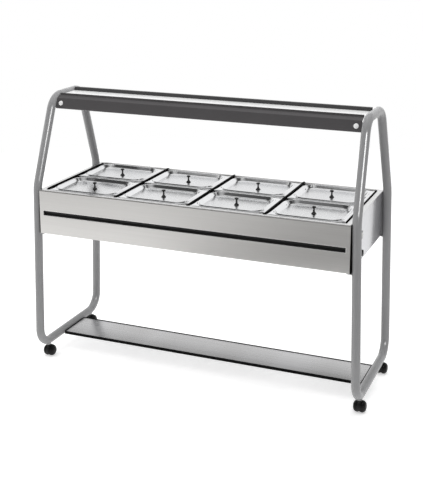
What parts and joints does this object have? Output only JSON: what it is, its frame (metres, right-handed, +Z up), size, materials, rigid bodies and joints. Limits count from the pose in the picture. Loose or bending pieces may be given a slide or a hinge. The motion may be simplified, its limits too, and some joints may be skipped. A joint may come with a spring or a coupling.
{
  "type": "buffet counter",
  "caption": "Wheeled hot buffet counter: stainless well with lidded pans, hung between bent tube side loops, with a canopy above and a low shelf.",
  "frame": {"origin": "on the floor, under the middle of the counter", "axes": "+X along the length towards the end with the controls, +Y away from the customers, +Z up"},
  "size_m": [1.519, 0.566, 1.225],
  "materials": {
    "silver_tube": "satin silver-grey paint on round steel tube",
    "brushed_steel": "stainless sheet, grain along the length",
    "polished_steel": "bright stainless sheet",
    "bolt_steel": "zinc-plated",
    "heater_steel": "dull heat-tinted",
    "charcoal_paint": "satin charcoal",
    "black_plastic": "moulded",
    "wheel_plastic": "moulded, slightly scuffed",
    "black_rubber": "smooth",
    "white_plastic": "moulded",
    "switch_plastic": "translucent rocker",
    "valve_brass": "nickel-plated",
    "lever_paint": "red dipped grip"
  },
  "bodies": {
    "counter": {"left_side_frame": "silver_tube", "right_side_frame": "silver_tube", "frame_bolts": "bolt_steel", "front_panel": "brushed_steel", "slot_channel": "black_plastic", "rear_panel": "brushed_steel", "left_end_panel": "brushed_steel", "right_end_panel": "brushed_steel", "bottom_cover": "brushed_steel", "well_tank": "polished_steel", "top_rim": "brushed_steel", "pan_support_bars": "black_rubber", "pan_divider_bars": "polished_steel", "heating_elements": "heater_steel", "thermostat_body": "black_plastic", "switch_housing": "black_plastic", "cable_gland": "black_plastic", "drain_valve_body": "valve_brass", "canopy_fascia": "charcoal_paint", "canopy_tray": "polished_steel", "canopy_rear_rail": "charcoal_paint", "fascia_screws": "white_plastic", "canopy_lamp": "white_plastic", "lower_shelf": "brushed_steel", "rubber_trims": "black_rubber"},
    "pan_front_1": {"pan_front_1": "polished_steel"},
    "lid_front_1": {"lid_front_1": "polished_steel", "lid_knob_front_1": "black_plastic"},
    "pan_front_2": {"pan_front_2": "polished_steel"},
    "lid_front_2": {"lid_front_2": "polished_steel", "lid_knob_front_2": "black_plastic"},
    "pan_front_3": {"pan_front_3": "polished_steel"},
    "lid_front_3": {"lid_front_3": "polished_steel", "lid_knob_front_3": "black_plastic"},
    "pan_front_4": {"pan_front_4": "polished_steel"},
    "lid_front_4": {"lid_front_4": "polished_steel", "lid_knob_front_4": "black_plastic"},
    "pan_rear_1": {"pan_rear_1": "polished_steel"},
    "lid_rear_1": {"lid_rear_1": "polished_steel", "lid_knob_rear_1": "black_plastic"},
    "pan_rear_2": {"pan_rear_2": "polished_steel"},
    "lid_rear_2": {"lid_rear_2": "polished_steel", "lid_knob_rear_2": "black_plastic"},
    "pan_rear_3": {"pan_rear_3": "polished_steel"},
    "lid_rear_3": {"lid_rear_3": "polished_steel", "lid_knob_rear_3": "black_plastic"},
    "pan_rear_4": {"pan_rear_4": "polished_steel"},
    "lid_rear_4": {"lid_rear_4": "polished_steel", "lid_knob_rear_4": "black_plastic"},
    "caster_front_left": {"caster_body_front_left": "black_plastic"},
    "wheels_front_left": {"caster_wheels_front_left": "wheel_plastic"},
    "caster_front_right": {"caster_body_front_right": "black_plastic"},
    "wheels_front_right": {"caster_wheels_front_right": "wheel_plastic"},
    "caster_rear_left": {"caster_body_rear_left": "black_plastic"},
    "wheels_rear_left": {"caster_wheels_rear_left": "wheel_plastic"},
    "caster_rear_right": {"caster_body_rear_right": "black_plastic"},
    "wheels_rear_right": {"caster_wheels_rear_right": "wheel_plastic"},
    "thermostat_knob": {"thermostat_knob": "black_plastic"},
    "switch_rocker": {"switch_rocker": "switch_plastic"},
    "drain_lever": {"drain_valve_lever": "lever_paint"}
  },
  "joints": [
    {"name": "pan_front_1_lift", "type": "slide", "parent": "counter", "child": "pan_front_1", "axis": [0, 0, 1], "range_m": [0, 0.15]},
    {"name": "lid_front_1_lift", "type": "slide", "parent": "pan_front_1", "child": "lid_front_1", "axis": [0, 0, 1], "range_m": [0, 0.12]},
    {"name": "pan_front_2_lift", "type": "slide", "parent": "counter", "child": "pan_front_2", "axis": [0, 0, 1], "range_m": [0, 0.15]},
    {"name": "lid_front_2_lift", "type": "slide", "parent": "pan_front_2", "child": "lid_front_2", "axis": [0, 0, 1], "range_m": [0, 0.12]},
    {"name": "pan_front_3_lift", "type": "slide", "parent": "counter", "child": "pan_front_3", "axis": [0, 0, 1], "range_m": [0, 0.15]},
    {"name": "lid_front_3_lift", "type": "slide", "parent": "pan_front_3", "child": "lid_front_3", "axis": [0, 0, 1], "range_m": [0, 0.12]},
    {"name": "pan_front_4_lift", "type": "slide", "parent": "counter", "child": "pan_front_4", "axis": [0, 0, 1], "range_m": [0, 0.15]},
    {"name": "lid_front_4_lift", "type": "slide", "parent": "pan_front_4", "child": "lid_front_4", "axis": [0, 0, 1], "range_m": [0, 0.12]},
    {"name": "pan_rear_1_lift", "type": "slide", "parent": "counter", "child": "pan_rear_1", "axis": [0, 0, 1], "range_m": [0, 0.15]},
    {"name": "lid_rear_1_lift", "type": "slide", "parent": "pan_rear_1", "child": "lid_rear_1", "axis": [0, 0, 1], "range_m": [0, 0.12]},
    {"name": "pan_rear_2_lift", "type": "slide", "parent": "counter", "child": "pan_rear_2", "axis": [0, 0, 1], "range_m": [0, 0.15]},
    {"name": "lid_rear_2_lift", "type": "slide", "parent": "pan_rear_2", "child": "lid_rear_2", "axis": [0, 0, 1], "range_m": [0, 0.12]},
    {"name": "pan_rear_3_lift", "type": "slide", "parent": "counter", "child": "pan_rear_3", "axis": [0, 0, 1], "range_m": [0, 0.15]},
    {"name": "lid_rear_3_lift", "type": "slide", "parent": "pan_rear_3", "child": "lid_rear_3", "axis": [0, 0, 1], "range_m": [0, 0.12]},
    {"name": "pan_rear_4_lift", "type": "slide", "parent": "counter", "child": "pan_rear_4", "axis": [0, 0, 1], "range_m": [0, 0.15]},
    {"name": "lid_rear_4_lift", "type": "slide", "parent": "pan_rear_4", "child": "lid_rear_4", "axis": [0, 0, 1], "range_m": [0, 0.12]},
    {"name": "caster_front_left_swivel", "type": "hinge", "parent": "counter", "child": "caster_front_left", "pos_m": [-0.732, -0.195, 0.07], "axis": [0, 0, 1], "continuous": true},
    {"name": "wheels_front_left_roll", "type": "hinge", "parent": "caster_front_left", "child": "wheels_front_left", "pos_m": [-0.732, -0.185, 0.025], "axis": [1, 0, 0], "continuous": true},
    {"name": "caster_front_right_swivel", "type": "hinge", "parent": "counter", "child": "caster_front_right", "pos_m": [0.732, -0.195, 0.07], "axis": [0, 0, 1], "continuous": true},
    {"name": "wheels_front_right_roll", "type": "hinge", "parent": "caster_front_right", "child": "wheels_front_right", "pos_m": [0.732, -0.185, 0.025], "axis": [1, 0, 0], "continuous": true},
    {"name": "caster_rear_left_swivel", "type": "hinge", "parent": "counter", "child": "caster_rear_left", "pos_m": [-0.732, 0.195, 0.07], "axis": [0, 0, 1], "continuous": true},
    {"name": "wheels_rear_left_roll", "type": "hinge", "parent": "caster_rear_left", "child": "wheels_rear_left", "pos_m": [-0.732, 0.205, 0.025], "axis": [1, 0, 0], "continuous": true},
    {"name": "caster_rear_right_swivel", "type": "hinge", "parent": "counter", "child": "caster_rear_right", "pos_m": [0.732, 0.195, 0.07], "axis": [0, 0, 1], "continuous": true},
    {"name": "wheels_rear_right_roll", "type": "hinge", "parent": "caster_rear_right", "child": "wheels_rear_right", "pos_m": [0.732, 0.205, 0.025], "axis": [1, 0, 0], "continuous": true},
    {"name": "thermostat_turn", "type": "hinge", "parent": "counter", "child": "thermostat_knob", "pos_m": [0.705, -0.165, 0.674], "axis": [-1, 0, 0], "range_deg": [0, 300]},
    {"name": "switch_rock", "type": "hinge", "parent": "counter", "child": "switch_rocker", "pos_m": [0.694, -0.108, 0.73], "axis": [0, 1, 0], "range_deg": [0, 20]},
    {"name": "drain_turn", "type": "hinge", "parent": "counter", "child": "drain_lever", "pos_m": [0.6185, 0.15, 0.59], "axis": [-1, 0, 0], "range_deg": [0, 90]}
  ]
}
